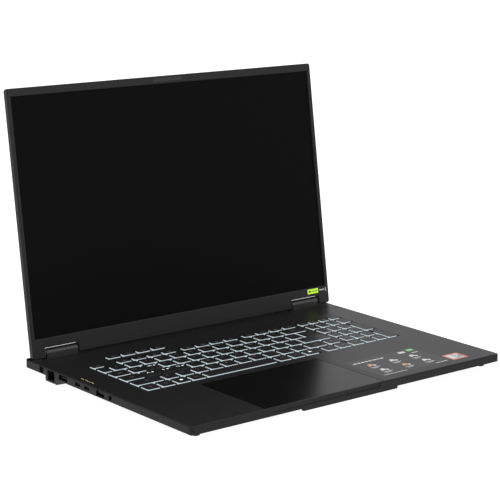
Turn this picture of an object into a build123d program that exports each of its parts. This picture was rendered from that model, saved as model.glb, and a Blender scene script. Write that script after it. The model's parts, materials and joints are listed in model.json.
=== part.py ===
"""Laptop computer of the 18-inch class, open for use, as an assembly of separate pieces.

Everything is drawn in the deck's own frame, in millimetres: x runs across, y from the front edge
to the rear, and z = 0 is the top face of the keyboard deck. The lid is drawn shut and then turned
open about its hinge axis. At the end one placement tilts the whole machine onto its feet, so that
z = 0 becomes the surface that it stands on and the origin is the bottom centre of its box.
"""
from build123d import *
import os
from math import cos, radians, sin, tan

# --- the base, seen from above -------------------------------------------------------------------
WIDTH = 399.0
HALF = WIDTH / 2
FRONT_Y = -113.7
REAR_Y = 160.0            # rear edge of the two rear corners
VENT_REAR_Y = 170.8       # rear edge of the exhaust section between them
VENT_HALF_FRONT = 178.0   # the exhaust section narrows from this half width
VENT_HALF_REAR = 171.0    # to this one
FRONT_CORNER_R = 4.0
REAR_CORNER_R = 2.5
EDGE_R = 1.4
EAR_Z = 1.0               # the rear corners stand this high behind the lid
FINGER_X = (-104.0, 31.0)  # recess for a finger under the lid's front edge
FINGER_Z = -5.0
FINGER_DEPTH = 0.7

# --- the base, seen from the side ----------------------------------------------------------------
DECK_TILT = 1.5           # degrees, rear edge higher
DESK_Z = -13.3            # the desk below the deck, at DESK_Y
DESK_Y = -100.0
FLOOR_GAP = 1.0           # between the desk and the flat underside
WALL_BOTTOM = -7.8        # lower edge of the upright side walls
TRAY_EDGE = 0.2           # upright edge of the bottom case under them
SIDE_BEVEL = 19.0         # degrees, underside slope in from the sides
FRONT_BEVEL = 16.0        # degrees, underside slope in from the front
REAR_BEVEL = 62.0
WALL = 1.6
DECK = 1.8
SHELL = 1.5               # bottom case
TROUGH_Y = 148.0          # the deck steps down here, under the lid's lower edge
TROUGH_Z = -1.5
TROUGH_HALF = 198.8
HUMP_Y = 158.2            # front of the raised exhaust section
HUMP_Z = 2.3
PLATEAU_Z = 0.25
PLATEAU_RAMP = 1.2

# --- the lid, drawn shut -------------------------------------------------------------------------
HINGE_Y = 152.7
HINGE_Z = 5.4
LID_GAP = 0.4             # between the deck and the shut lid
LID_T = 6.9
LID_Z = LID_GAP
LID_HALF = 198.5
LID_REAR = 157.1
LID_FRONT = FRONT_Y
LID_OPEN = 99.0           # degrees open at rest
LID_CORNER_R = 2.8
LID_EDGE_R = 2.4          # rounding of the lid's back edges
LID_RIM = 1.2
LID_BACK = 1.5
BEZEL_T = 1.4
SCREEN_HALF = 193.85
SCREEN_REAR = 137.6       # lower edge of the visible screen
SCREEN_FRONT = -105.3     # upper edge of the visible screen
PANEL_T = 2.15
NOTCH = (142.5, 183.5)    # hinge notches, from and to, on each side
NOTCH_FRONT = HINGE_Y - 5.4

# --- the hinges ----------------------------------------------------------------------------------
BLOCK = (144.0, 181.3)
BLOCK_FRONT = 147.6
BLOCK_NOSE_R = 2.4
BLOCK_NOSE_Z = 5.6
BLOCK_REAR_R = 4.3
PIN_R = 1.2
PIN_CLEARANCE = 0.05
BARREL_R = 2.2
PIN = (131.0, 176.0)

# --- the keyboard --------------------------------------------------------------------------------
KEY_LEFT = -164.2
KEY_GAP = 1.3
KEY_PITCH = 18.5
KEY_DEPTH = 16.9
KEY_ROW = 18.2            # row pitch
F_KEY_DEPTH = 9.8
KEYS_FRONT = -0.5         # front edge of the nearest row
HOT_FRONT = 109.5
HOT_LEFT = -132.4
HOT_PITCH = 18.6
KEY_TOP = 0.6
KEY_FOOT = -2.6
KEY_WALL = 1.6
KEY_ROOF = 1.2
KEY_MARGIN = 0.85         # between a key and the deck round it
PAD_LEFT = 107.3          # numeric pad
PAD_PITCH = 14.9
PAD_WIDTH = 13.6
MAIN_RIGHT = 101.2
PLATE_TOP = -4.6
PLATE_T = 1.0
PLATE = (-171.0, 172.0, -5.0, 125.0)

# --- touchpad and power button -------------------------------------------------------------------
PAD = (-112.5, 36.25, -111.0, -13.7)
PAD_GAP = 0.4
PAD_TOP = -0.15
PAD_T = 2.4
POWER = (151.6, 166.4, 106.0, 116.0)
POWER_GAP = 0.25
POWER_TOP = -0.1
POWER_T = 2.0

# --- sockets: centre y, centre z -----------------------------------------------------------------
DC_AT = (130.6, -3.9)
DC_SIZE = (7.0, 6.2)
NETWORK = (107.2, 119.6, -11.9, -1.2)
HDMI_AT = (92.0, -3.9)
HDMI_SIZE = (15.0, 5.6)
USB_C_AT = ((66.8, -3.9), (51.2, -3.9))
USB_C_SIZE = (9.3, 3.6)
USB_A_LEFT_AT = (28.7, -4.1)
USB_A_RIGHT_AT = (60.0, -4.1)
USB_A_SIZE = (13.2, 5.8)
AUDIO_AT = (12.3, -4.2)
AUDIO_R = 1.78
AUDIO_LENGTH = 13.5
SOCKET_ROOF = -0.9        # the deck is thinner over the sockets
SOCKET_SET = 0.5          # socket mouths stand this far inside the wall's face
BUMP = (123.4, 103.0, 90.0, -13.3)   # lowered side wall under the network socket

# --- inside --------------------------------------------------------------------------------------
BOARD_TOP = -7.9
BOARD_T = 1.2
FAN_X = 92.0
FAN_Y = 98.0
FAN_HALF = 38.0
FAN_Z = (-14.0, -6.9)
ROTOR_R = 32.5
ROTOR_HUB_R = 13.0
ROTOR_BLADES = 23
ROTOR_PIN_R = 1.0
FINS_X = (44.0, 143.0)
FINS_Y = (144.5, 166.0)
FINS_Z = (-12.4, -3.6)
FIN_T = 0.4
FIN_GAPS = 44
WINDOW_X = (42.0, 156.0)
WINDOW_Z = (-6.8, 0.6)
GRILLE_GAPS = 36
SCREWS = ((-164.0, -82.0), (164.0, -82.0), (-150.0, 30.0), (164.0, 30.0), (-166.0, 138.0),
          (166.0, 138.0), (0.0, -96.5))
SCREW_HEAD_R = 2.6
SCREW_R = 1.1


def desk_z(y):
    """Height of the desk below the deck's frame at y."""
    return DESK_Z - (y - DESK_Y) * tan(radians(DECK_TILT))


def block(x, y, z):
    """A box from its extents along each axis."""
    return Pos((x[0] + x[1]) / 2, (y[0] + y[1]) / 2, (z[0] + z[1]) / 2) * Box(
        x[1] - x[0], y[1] - y[0], z[1] - z[0])


def prism(points, z0, z1):
    """An upright prism on a closed outline of (x, y) points."""
    return extrude(Plane.XY.offset(z0) * make_face(Polyline(*points, close=True)), z1 - z0)


def rod(x0, x1, y, z, radius):
    """A round bar along x."""
    return Plane.YZ.offset(x0) * Pos(y, z) * extrude(Circle(radius), x1 - x0)


def post(x, y, z0, z1, radius):
    """A round upright."""
    return Pos(x, y, (z0 + z1) / 2) * Cylinder(radius, z1 - z0)


def rounded_slab(x, y, z, radius):
    """A slab with rounded upright edges."""
    sheet = Pos((x[0] + x[1]) / 2, (y[0] + y[1]) / 2, z[0]) * RectangleRounded(
        x[1] - x[0], y[1] - y[0], radius)
    return extrude(sheet, z[1] - z[0])


def mirrored(shape):
    """The same shape on the other side."""
    return mirror(shape, about=Plane.YZ)


def case_outline(inset):
    """Outline of the base, moved in by inset."""
    half = HALF - inset
    rear = REAR_Y - inset
    vent = VENT_REAR_Y - inset
    right = [(half, FRONT_Y + inset), (half, rear), (VENT_HALF_FRONT - inset, rear),
             (VENT_HALF_REAR - inset, vent)]
    left = [(-x, y) for x, y in reversed(right)]
    return right + left


def base_prism(inset, z0, z1):
    """The base's outline as a prism with rounded outer corners."""
    solid = prism(case_outline(inset), z0, z1)
    corners = [e for e in solid.edges().filter_by(Axis.Z)
               if abs(e.center().X) > HALF - inset - 0.1]
    less = min(inset, 2.0)
    solid = fillet([e for e in corners if e.center().Y < 0], FRONT_CORNER_R - less)
    rear = [e for e in solid.edges().filter_by(Axis.Z)
            if abs(e.center().X) > HALF - inset - 0.1 and e.center().Y > REAR_Y - inset - 0.1]
    return fillet(rear, REAR_CORNER_R - less)


def below(solid, origin, normal):
    """What is left of solid on the side of a plane that its normal points away from."""
    return split(solid, bisect_by=Plane(origin=origin, z_dir=normal), keep=Keep.BOTTOM)


def tray(inset, top):
    """The solid form of the bottom case, moved in by inset, up to the height top."""
    solid = base_prism(inset, WALL_BOTTOM - 14.0, top)
    side = radians(SIDE_BEVEL)
    front = radians(FRONT_BEVEL)
    rear = radians(REAR_BEVEL)
    tilt = radians(DECK_TILT)
    drop = WALL_BOTTOM - TRAY_EDGE
    for sign in (-1, 1):
        solid = below(solid, (sign * HALF - sign * inset * sin(side), 0, drop + inset * cos(side)),
                      (sign * sin(side), 0, -cos(side)))
    solid = below(solid, (0, FRONT_Y + inset * sin(front), drop + inset * cos(front)),
                  (0, -sin(front), -cos(front)))
    solid = below(solid, (0, VENT_REAR_Y - inset * sin(rear), drop + inset * cos(rear)),
                  (0, sin(rear), -cos(rear)))
    floor = desk_z(0) + FLOOR_GAP + inset
    return below(solid, (0, 0, floor), (0, -sin(tilt), -cos(tilt)))


def floor_z(y):
    """Inner floor of the bottom case at y."""
    return desk_z(y) + FLOOR_GAP + SHELL


# --- keyboard layout: each key is (left, right, front, rear) -------------------------------------
def row_front(row):
    """Front edge of a full-depth row: 0 is the nearest."""
    return KEYS_FRONT + row * KEY_ROW


def keys_from(left, pitch, count, front, depth=KEY_DEPTH):
    """Equal keys in a row."""
    return [(left + i * pitch, left + (i + 1) * pitch - KEY_GAP, front, front + depth)
            for i in range(count)]


def key_between(left, right, row, rows=1):
    """One key from left to right, one or more rows deep."""
    front = row_front(row)
    return (left, right, front, front + KEY_DEPTH + (rows - 1) * KEY_ROW)


def pad_key(column, row, rows=1):
    """One key of the numeric pad."""
    left = PAD_LEFT + column * PAD_PITCH
    return key_between(left, left + PAD_WIDTH, row, rows)


def keyboard():
    """Every key, by node."""
    f_row = row_front(5)
    quote_left = -150.2
    upper_left = -140.6
    home_left = -137.4
    lower_left = -127.8
    enter_top_left = upper_left + 12 * KEY_PITCH
    enter_left = home_left + 11 * KEY_PITCH
    shift_right_left = lower_left + 10 * KEY_PITCH
    up_left = 84.4
    space_right = -1.3
    arrows_left = 65.0
    zero_left = arrows_left + 3 * KEY_PITCH
    function = [(KEY_LEFT, KEY_LEFT + 15.6, f_row, f_row + F_KEY_DEPTH)]
    for left in (HOT_LEFT, -51.8, 28.8):
        function += keys_from(left, HOT_PITCH, 4, f_row, F_KEY_DEPTH)
    numpad = [(PAD_LEFT + i * PAD_PITCH, PAD_LEFT + i * PAD_PITCH + PAD_WIDTH, f_row,
               f_row + F_KEY_DEPTH) for i in range(4)]
    numpad += [pad_key(column, 4) for column in range(4)]
    numpad += [pad_key(column, row) for row in (3, 2, 1) for column in range(3)]
    numpad += [pad_key(3, 2, 2), pad_key(3, 0, 2), pad_key(2, 0),
               key_between(zero_left, PAD_LEFT + PAD_PITCH + PAD_WIDTH, 0)]
    return {
        "hot_keys": keys_from(HOT_LEFT, HOT_PITCH, 4, HOT_FRONT, F_KEY_DEPTH),
        "function_keys": function,
        "number_keys": [key_between(KEY_LEFT, quote_left - KEY_GAP, 4)]
        + keys_from(quote_left, KEY_PITCH, 12, row_front(4)),
        "backspace_key": [key_between(quote_left + 12 * KEY_PITCH, MAIN_RIGHT, 4)],
        "upper_letter_keys": [key_between(KEY_LEFT, upper_left - KEY_GAP, 3)]
        + keys_from(upper_left, KEY_PITCH, 12, row_front(3)),
        "home_letter_keys": [key_between(KEY_LEFT, home_left - KEY_GAP, 2)]
        + keys_from(home_left, KEY_PITCH, 11, row_front(2)),
        "enter_key": [key_between(enter_top_left, MAIN_RIGHT, 2, 2),
                      key_between(enter_left, enter_top_left + KEY_GAP, 2)],
        "left_shift_key": [key_between(KEY_LEFT, lower_left - KEY_GAP, 1)],
        "lower_letter_keys": keys_from(lower_left, KEY_PITCH, 10, row_front(1)),
        "right_shift_key": [key_between(shift_right_left, up_left - KEY_GAP, 1)],
        "modifier_keys": keys_from(KEY_LEFT, KEY_PITCH, 4, row_front(0))
        + keys_from(space_right + KEY_GAP + 1.2, KEY_PITCH, 3, row_front(0)),
        "space_bar": [key_between(KEY_LEFT + 4 * KEY_PITCH, space_right, 0)],
        "arrow_keys": keys_from(arrows_left, KEY_PITCH, 3, row_front(0))
        + [key_between(up_left, MAIN_RIGHT, 1)],
        "numpad_keys": numpad,
    }


def key_blank(key, grow, z0, z1):
    """A plain box over one key, grown all round."""
    return block((key[0] - grow, key[1] + grow), (key[2] - grow, key[3] + grow), (z0, z1))


def key_cap(key):
    """A hollow cap with a flared skirt."""
    width, depth = key[1] - key[0], key[3] - key[2]
    foot = Pos((key[0] + key[1]) / 2, (key[2] + key[3]) / 2, KEY_FOOT) * RectangleRounded(
        width, depth, 1.2)
    cap = extrude(foot, KEY_TOP - KEY_FOOT, taper=8)
    return cap - key_blank(key, -KEY_WALL, KEY_FOOT, KEY_TOP - KEY_ROOF)


def enter_cap(upper, lower):
    """The angled enter key: two rectangles that share one cap."""
    outline = Pos((upper[0] + upper[1]) / 2, (upper[2] + upper[3]) / 2) * Rectangle(
        upper[1] - upper[0], upper[3] - upper[2])
    outline += Pos((lower[0] + lower[1]) / 2, (lower[2] + lower[3]) / 2) * Rectangle(
        lower[1] - lower[0], lower[3] - lower[2])
    cap = extrude(Pos(0, 0, KEY_FOOT) * outline, KEY_TOP - KEY_FOOT, taper=8)
    return cap - key_blank(upper, -KEY_WALL, KEY_FOOT, KEY_TOP - KEY_ROOF)


def key_node(name, keys):
    """The caps of one node."""
    if name == "enter_key":
        return [enter_cap(*keys)]
    return [key_cap(key) for key in keys]


# --- base shells ---------------------------------------------------------------------------------
def key_well(z0, z1):
    """The openings for all keys, joined where they meet."""
    outline = Sketch()
    for keys in keyboard().values():
        for key in keys:
            outline += Pos((key[0] + key[1]) / 2, (key[2] + key[3]) / 2) * Rectangle(
                key[1] - key[0] + 2 * KEY_MARGIN, key[3] - key[2] + 2 * KEY_MARGIN)
    return extrude(Pos(0, 0, z0) * outline, z1 - z0)


def hump(inset, z0, z1):
    """The raised exhaust section, its sides in line with the base's outline."""
    rear = VENT_REAR_Y - inset
    near = HUMP_Y + inset
    half = VENT_HALF_FRONT - inset
    slope = (VENT_HALF_FRONT - VENT_HALF_REAR) / (VENT_REAR_Y - REAR_Y)
    near_half = half - slope * max(0.0, near - REAR_Y + inset)
    points = [(near_half, near), (VENT_HALF_REAR - inset, rear)]
    if near < REAR_Y - inset:
        points.insert(1, (half, REAR_Y - inset))
    return prism(points + [(-x, y) for x, y in reversed(points)], z0, z1)


def base_cavity():
    """The room inside the upright walls."""
    low = block((-HALF, HALF), (TROUGH_Y - WALL, REAR_Y + 20.0), (TROUGH_Z - DECK, 0.0))
    cavity = base_prism(WALL, WALL_BOTTOM - 1.0, -DECK) - low
    cavity += hump(WALL, WALL_BOTTOM, HUMP_Z - DECK)
    socket_room = block((-HALF + WALL, -HALF + 19.0), (0.0, 124.0), (-DECK - 1.0, SOCKET_ROOF))
    right_room = block((HALF - 19.0, HALF - WALL), (50.0, 70.0), (-DECK - 1.0, SOCKET_ROOF))
    return cavity + socket_room + right_room


def plateau():
    """Slightly raised strip behind the keyboard, with a ramp down to the keys."""
    points = [(-HALF + 3.0, 141.3), (-60.0, 141.3), (-45.0, 127.3), (HALF - 3.0, 127.3),
              (HALF - 3.0, TROUGH_Y), (-HALF + 3.0, TROUGH_Y)]
    raised = prism(points, -0.5, PLATEAU_Z)
    ramp = [e for e in raised.edges() if e.center().Z > PLATEAU_Z - 0.01 and e.center().Y < 142.0
            and abs(e.center().X) < HALF - 3.5]
    return chamfer(ramp, PLATEAU_Z, PLATEAU_RAMP)


def side_openings():
    """Everything that passes through the side walls, as solids to cut away."""
    left = (-HALF - 1.0, -HALF + WALL + 0.6)
    cuts = [block(left, NETWORK[:2], NETWORK[2:])]
    sizes = [(DC_AT, DC_SIZE), (HDMI_AT, HDMI_SIZE), (USB_A_LEFT_AT, USB_A_SIZE)]
    sizes += [(at, USB_C_SIZE) for at in USB_C_AT]
    for (y, z), (wide, high) in sizes:
        radius = high / 2 - 0.05 if high < 4.0 else 0.6
        opening = Plane.YZ.offset(left[0]) * Pos(y, z) * RectangleRounded(wide, high, radius)
        cuts.append(extrude(opening, left[1] - left[0]))
    cuts.append(rod(left[0], left[1], AUDIO_AT[0], AUDIO_AT[1], AUDIO_R + 0.9))
    y, z = USB_A_RIGHT_AT
    opening = Plane.YZ.offset(-left[1]) * Pos(y, z) * RectangleRounded(*USB_A_SIZE, 0.6)
    cuts.append(extrude(opening, left[1] - left[0]))
    return cuts


def ears():
    """Raised rear corners of the base, behind the lid."""
    body = fillet(base_prism(0.0, -2.0, EAR_Z).faces().sort_by(Axis.Z)[-1].edges(), EDGE_R)
    return body & block((-HALF, HALF), (HUMP_Y, REAR_Y), (-2.0, EAR_Z))


def top_case():
    """Keyboard deck with the upright walls of the base."""
    body = base_prism(0.0, WALL_BOTTOM, 0.0)
    body = fillet(body.faces().sort_by(Axis.Z)[-1].edges(), EDGE_R)
    body += plateau()
    body += hump(0.0, -2.0, HUMP_Z)
    body += ears()
    body -= base_cavity()
    body -= block((-TROUGH_HALF, TROUGH_HALF), (TROUGH_Y, HUMP_Y), (TROUGH_Z, 1.0))
    rim = block((PLATE[0], PLATE[1]), (PLATE[2], PLATE[3]), (PLATE_TOP, -DECK))
    body += rim
    body -= key_well(PLATE_TOP - 0.1, 1.0)
    body -= block((POWER[0] - POWER_GAP, POWER[1] + POWER_GAP),
                  (POWER[2] - POWER_GAP, POWER[3] + POWER_GAP), (PLATE_TOP - 0.1, 1.0))
    body -= block((PAD[0] - PAD_GAP, PAD[1] + PAD_GAP), (PAD[2] - PAD_GAP, PAD[3] + PAD_GAP),
                  (-DECK - 0.1, 1.0))
    body -= block(FINGER_X, (FRONT_Y - 1.0, FRONT_Y + FINGER_DEPTH), (FINGER_Z, 1.0))
    for cut in side_openings():
        body -= cut
    for sign in (-1, 1):
        window = sorted((sign * WINDOW_X[0], sign * WINDOW_X[1]))
        body -= block(window, (VENT_REAR_Y - WALL - 0.5, VENT_REAR_Y + 1.0), WINDOW_Z)
        slot = sorted((sign * (BLOCK[0] + 3.5), sign * (BLOCK[1] - 3.5)))
        body -= block(slot, (150.2, 155.2), (TROUGH_Z - DECK - 1.0, TROUGH_Z + 0.5))
    return body


def bump(inset):
    """The lowered stretch of the left wall that the network socket needs."""
    rear, front, ramp, low = BUMP
    points = [(rear - inset, WALL_BOTTOM), (rear - inset, low + 1.2 + inset),
              (rear - 1.2 - inset, low + inset), (front + inset, low + inset), (ramp, -8.8),
              (ramp, WALL_BOTTOM)]
    face = Plane.YZ.offset(-HALF + inset) * make_face(Polyline(*points, close=True))
    return extrude(face, 26.0 - inset)


def screw_bosses():
    """Posts that stand on the floor round each case screw."""
    return [post(x, y, floor_z(y) - 0.8, floor_z(y) + 2.6, 4.0) for x, y in SCREWS]


def intake_slots():
    """Air intake slots under each fan."""
    slots = []
    for sign in (-1, 1):
        for i in range(13):
            y = FAN_Y - 30.0 + 5.0 * i
            for half in (-1, 1):
                x = sign * FAN_X + half * 16.5
                z = desk_z(y) + FLOOR_GAP
                slots.append(rounded_slab((x - 14.5, x + 14.5), (y - 1.2, y + 1.2),
                                          (z - 1.0, z + SHELL + 1.0), 1.15))
    return slots


def bottom_case():
    """The tray under the machine."""
    outer = tray(0.0, WALL_BOTTOM) + bump(0.0)
    body = outer - tray(SHELL, WALL_BOTTOM + 1.0) - bump(SHELL)
    for boss in screw_bosses():
        body += boss
    for x, y in SCREWS:
        floor = desk_z(y) + FLOOR_GAP
        body -= post(x, y, floor - 2.0, floor + 1.6, SCREW_HEAD_R + 0.3)
        body -= post(x, y, floor - 2.0, floor + 6.0, SCREW_R + 0.1)
    for slot in intake_slots():
        body -= slot
    body -= block((-HALF - 1.0, -HALF + SHELL + 0.6), NETWORK[:2], NETWORK[2:])
    return body


def case_screws():
    """Seven screws that hold the bottom case."""
    screws = []
    for x, y in SCREWS:
        seat = desk_z(y) + FLOOR_GAP + 1.6
        head = post(x, y, seat - 1.2, seat, SCREW_HEAD_R)
        head -= Pos(x, y, seat - 1.2) * Box(3.2, 0.7, 1.0)
        head -= Pos(x, y, seat - 1.2) * Box(0.7, 3.2, 1.0)
        screws.append(head + post(x, y, seat, seat + 3.4, SCREW_R))
    return screws


def foot(x, y, radius):
    """A rubber foot from the desk up to the underside."""
    tilt = radians(DECK_TILT)
    desk = Plane(origin=(0, 0, desk_z(0)), x_dir=(1, 0, 0), z_dir=(0, sin(tilt), cos(tilt)))
    centre = Pos((x[0] + x[1]) / 2, (y[0] + y[1]) / 2 / cos(tilt))
    sheet = desk * centre * RectangleRounded(x[1] - x[0], y[1] - y[0], radius)
    solid = extrude(sheet, 6.0) - tray(0.0, WALL_BOTTOM)
    return solid.solids().sort_by(Axis.Z)[0]


def front_feet():
    """Two feet near the front corners."""
    right = foot((182.0, 188.0), (-104.0, -78.0), 1.5)
    return [mirrored(right), right]


def rear_grilles():
    """Louvred grilles in the two exhaust windows."""
    grilles = []
    depth = (VENT_REAR_Y - WALL + 0.1, VENT_REAR_Y - 0.3)
    for sign in (-1, 1):
        window = sorted((sign * WINDOW_X[0], sign * WINDOW_X[1]))
        grille = block(window, depth, WINDOW_Z)
        inner = (window[0] + 1.0, window[1] - 1.0)
        grille -= block(inner, (depth[0] - 1, depth[1] + 1), (WINDOW_Z[0] + 0.8, WINDOW_Z[1] - 0.8))
        step = (inner[1] - inner[0]) / GRILLE_GAPS
        for i in range(1, GRILLE_GAPS):
            x = inner[0] + i * step
            grille += block((x - 0.4, x + 0.4), depth, (WINDOW_Z[0] + 0.4, WINDOW_Z[1] - 0.4))
        grilles.append(grille)
    return grilles


# --- hinges (drawn on the right, mirrored for the left) ------------------------------------------
def hinge_profile(shrink, bottom):
    """Outline of the hinge block in the (y, z) plane."""
    nose = Pos(BLOCK_FRONT + BLOCK_NOSE_R, BLOCK_NOSE_Z) * Circle(BLOCK_NOSE_R - shrink)
    rear = Pos(HINGE_Y, HINGE_Z) * Circle(BLOCK_REAR_R - shrink)
    y0, y1 = BLOCK_FRONT + shrink, HINGE_Y + BLOCK_REAR_R - shrink
    base = Pos((y0 + y1) / 2, bottom + 0.5) * Rectangle(y1 - y0, 1.0)
    return make_hull(nose.edges() + rear.edges() + base.edges())


def hinge_cover():
    """Moulded cover over a hinge, fixed to the deck."""
    body = extrude(Plane.YZ.offset(BLOCK[0]) * hinge_profile(0.0, TROUGH_Z), BLOCK[1] - BLOCK[0])
    inner = extrude(Plane.YZ.offset(BLOCK[0] + 1.2) * hinge_profile(0.65, TROUGH_Z - 1.0),
                    BLOCK[1] - BLOCK[0] - 2.4)
    body -= inner
    body -= block((BLOCK[0] - 1, BLOCK[1] + 1), (BLOCK_FRONT - 1, TROUGH_Y),
                  (-5.0, PLATEAU_Z))
    return body - rod(BLOCK[0] - 1, BLOCK[0] + 2, HINGE_Y, HINGE_Z, PIN_R + 0.3)


def hinge_bracket():
    """Steel bracket under the deck that carries the barrel."""
    barrel_x = (BLOCK[0] + 3.0, BLOCK[1] - 3.0)
    web_x = (BLOCK[0] + 4.5, BLOCK[1] - 4.5)
    body = rod(barrel_x[0], barrel_x[1], HINGE_Y, HINGE_Z, BARREL_R)
    body += block(web_x, (HINGE_Y - 1.2, HINGE_Y + 1.2), (-4.7, HINGE_Z - 1.8))
    body += block((BLOCK[0] + 1.0, BLOCK[1]), (128.5, HINGE_Y + 1.2), (-4.7, -3.5))
    body -= rod(barrel_x[0] - 1, barrel_x[1] + 1, HINGE_Y, HINGE_Z, PIN_R + PIN_CLEARANCE)
    for x, y in hinge_screw_places():
        body -= post(x, y, -6.0, -2.0, 1.0)
    return body


def hinge_screw_places():
    """Screws through the bracket's flat, on the right."""
    return [(BLOCK[0] + 5.0 + 9.5 * i, 132.5) for i in range(4)]


def hinge_screws():
    """Four screws in each bracket."""
    screws = []
    for x, y in hinge_screw_places():
        screw = post(x, y, -5.6, -4.7, 1.9) + post(x, y, -4.7, -1.85, 0.95)
        screws += [screw, mirrored(screw)]
    return screws


def hinge_arm():
    """The hinge pin and the arm inside the lid, drawn with the lid shut."""
    body = rod(NOTCH[0] - LID_RIM - 0.3, PIN[1], HINGE_Y, HINGE_Z, PIN_R)
    knuckle = (PIN[0], NOTCH[0] - LID_RIM - 0.1)
    back = LID_Z + LID_T - LID_BACK
    body += block(knuckle, (SCREEN_REAR + 2.5, HINGE_Y + 1.2), (LID_Z + BEZEL_T + 0.6, back))
    body += block(knuckle, (82.0, SCREEN_REAR + 3.0), (LID_Z + BEZEL_T + PANEL_T + 0.15, back))
    return body


# --- lid, drawn shut -----------------------------------------------------------------------------
def lid_outline(inset, z0, z1):
    """The lid's outline before its hinge notches, moved in by inset."""
    across = (-LID_HALF + inset, LID_HALF - inset)
    along = (LID_FRONT + inset, LID_REAR - inset)
    return rounded_slab(across, along, (z0, z1), LID_CORNER_R - inset)


def lid_notches(grow):
    """Both hinge notches as solids to cut away, grown by grow."""
    right = block((NOTCH[0] - grow, NOTCH[1] + grow), (NOTCH_FRONT - grow, LID_REAR + 5.0),
                  (-2.0, 12.0))
    return right + mirrored(right)


def lid_cover():
    """Outer shell of the lid: back plate and rim."""
    body = lid_outline(0.0, LID_Z, LID_Z + LID_T)
    body = fillet(body.faces().sort_by(Axis.Z)[-1].edges(), LID_EDGE_R)
    body = chamfer(body.faces().sort_by(Axis.Z)[0].edges(), 0.3)
    body -= lid_notches(0.0)
    cavity = lid_outline(LID_RIM, LID_Z - 1.0, LID_Z + LID_T - LID_BACK) - lid_notches(LID_RIM)
    body -= cavity
    pin = rod(NOTCH[0] - 3.0, NOTCH[0] + 1.0, HINGE_Y, HINGE_Z, PIN_R + 0.1)
    return body - pin - mirrored(pin)


def bezel():
    """Front frame round the screen."""
    gap = 0.1
    body = lid_outline(LID_RIM + gap, LID_Z, LID_Z + BEZEL_T) - lid_notches(LID_RIM + gap)
    body -= block((-SCREEN_HALF, SCREEN_HALF), (SCREEN_FRONT, SCREEN_REAR), (-1.0, 5.0))
    inner = [e for e in body.faces().sort_by(Axis.Z)[0].edges()
             if abs(e.center().X) < SCREEN_HALF + 0.1
             and SCREEN_FRONT - 0.1 < e.center().Y < SCREEN_REAR + 0.1]
    body = chamfer(inner, 0.7)
    return body - post(-1.0, camera_y(), -1.0, 5.0, 1.5)


def camera_y():
    """Centre line of the camera in the top bezel."""
    return LID_FRONT + 3.9


def display_panel():
    """The screen module."""
    z0 = LID_Z + BEZEL_T
    return block((-SCREEN_HALF - 2.2, SCREEN_HALF + 2.2), (SCREEN_FRONT - 1.0, SCREEN_REAR + 2.0),
                 (z0, z0 + PANEL_T))


def display_board():
    """Driver board below the screen."""
    z0 = LID_Z + BEZEL_T
    board = block((-82.0, 82.0), (140.5, 151.0), (z0 + 0.3, z0 + 1.3))
    board += block((-60.0, -44.0), (143.0, 149.0), (z0 + 1.3, z0 + 2.3))
    board += block((30.0, 38.0), (142.5, 149.5), (z0 + 1.3, z0 + 2.1))
    return board


def camera_module():
    """Camera and microphones behind the top bezel."""
    z0 = LID_Z + BEZEL_T
    y = (LID_FRONT + 1.7, LID_FRONT + 6.3)
    body = block((-42.0, 42.0), y, (z0, z0 + 1.0)) + block((-8.0, 6.0), y, (z0 + 1.0, z0 + 2.8))
    return body + post(-1.0, camera_y(), z0 - 1.1, z0, 1.3)


def lid_bumpers():
    """Thin rubber buffers on the bezel."""
    z = (LID_Z - 0.3, LID_Z)
    top = block((118.0, 141.0), (LID_FRONT + 2.4, LID_FRONT + 4.6), z)
    side = block((195.3, 196.9), (HINGE_Y + 6.5 - 177.0, HINGE_Y + 6.5 - 151.0), z)
    low = block((47.5, 74.5), (150.2, 152.2), z)
    return [part for right in (top, side, low) for part in (mirrored(right), right)]


# --- sockets -------------------------------------------------------------------------------------
def socket_shell(at, size, depth, tongue, side=-1):
    """A metal socket lying on the board behind its opening, with its tongue."""
    y, z = at
    wide, high = size
    face = side * (HALF - SOCKET_SET)
    corner = 0.5 if high > 4.0 else high / 2 - 0.15
    outer = RectangleRounded(wide - 0.2, high - 0.2, corner)
    mouth = RectangleRounded(wide - 0.9, high - 0.9, corner - 0.35)
    plane = Plane.YZ.offset(face)
    shell = extrude(plane * Pos(y, z) * outer, -side * depth)
    shell -= extrude(plane * Pos(y, z) * mouth, -side * (depth - 1.2))
    reach = sorted((face - side * 0.8, face - side * (depth - 1.0)))
    return shell + block(reach, (y - wide * 0.38, y + wide * 0.38), (z + tongue[0], z + tongue[1]))


def dc_inlet():
    """Power inlet: a sleeve with a centre pin."""
    y, z = DC_AT
    face = -HALF + WALL
    body = block((face, face + 14.0), (y - 4.6, y + 4.6), (z - 3.9, z + 2.05))
    body -= rod(face - 1.0, face + 11.0, y, z, 2.75 - 0.9)
    return body + rod(face - 0.4, face + 11.5, y, z, 0.55)


def network_socket():
    """Network socket: open box with a latch step."""
    y0, y1, z0, z1 = NETWORK
    face = -HALF + WALL
    body = block((face, face + 17.0), (y0 - 0.8, y1 + 0.8), (z0 + 0.15, z1 - 0.1))
    mouth = block((face - 1.0, face + 15.0), (y0 + 0.2, y1 - 0.2), (z0 + 0.9, z1 - 2.5))
    key = block((face - 1.0, face + 12.0), (y0 + 3.2, y1 - 3.2), (z0 + 0.9, z1 - 0.8))
    return body - mouth - key


def audio_jack():
    """Round jack barrel in a block."""
    y, z = AUDIO_AT
    face = -HALF + WALL
    body = block((face, face + AUDIO_LENGTH), (y - 3.4, y + 3.4), (z - 3.2, z + 2.3))
    body += rod(face - 0.6, face, y, z, AUDIO_R + 0.8)
    return body - rod(face - 1.0, face + AUDIO_LENGTH - 1.2, y, z, AUDIO_R)


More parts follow.
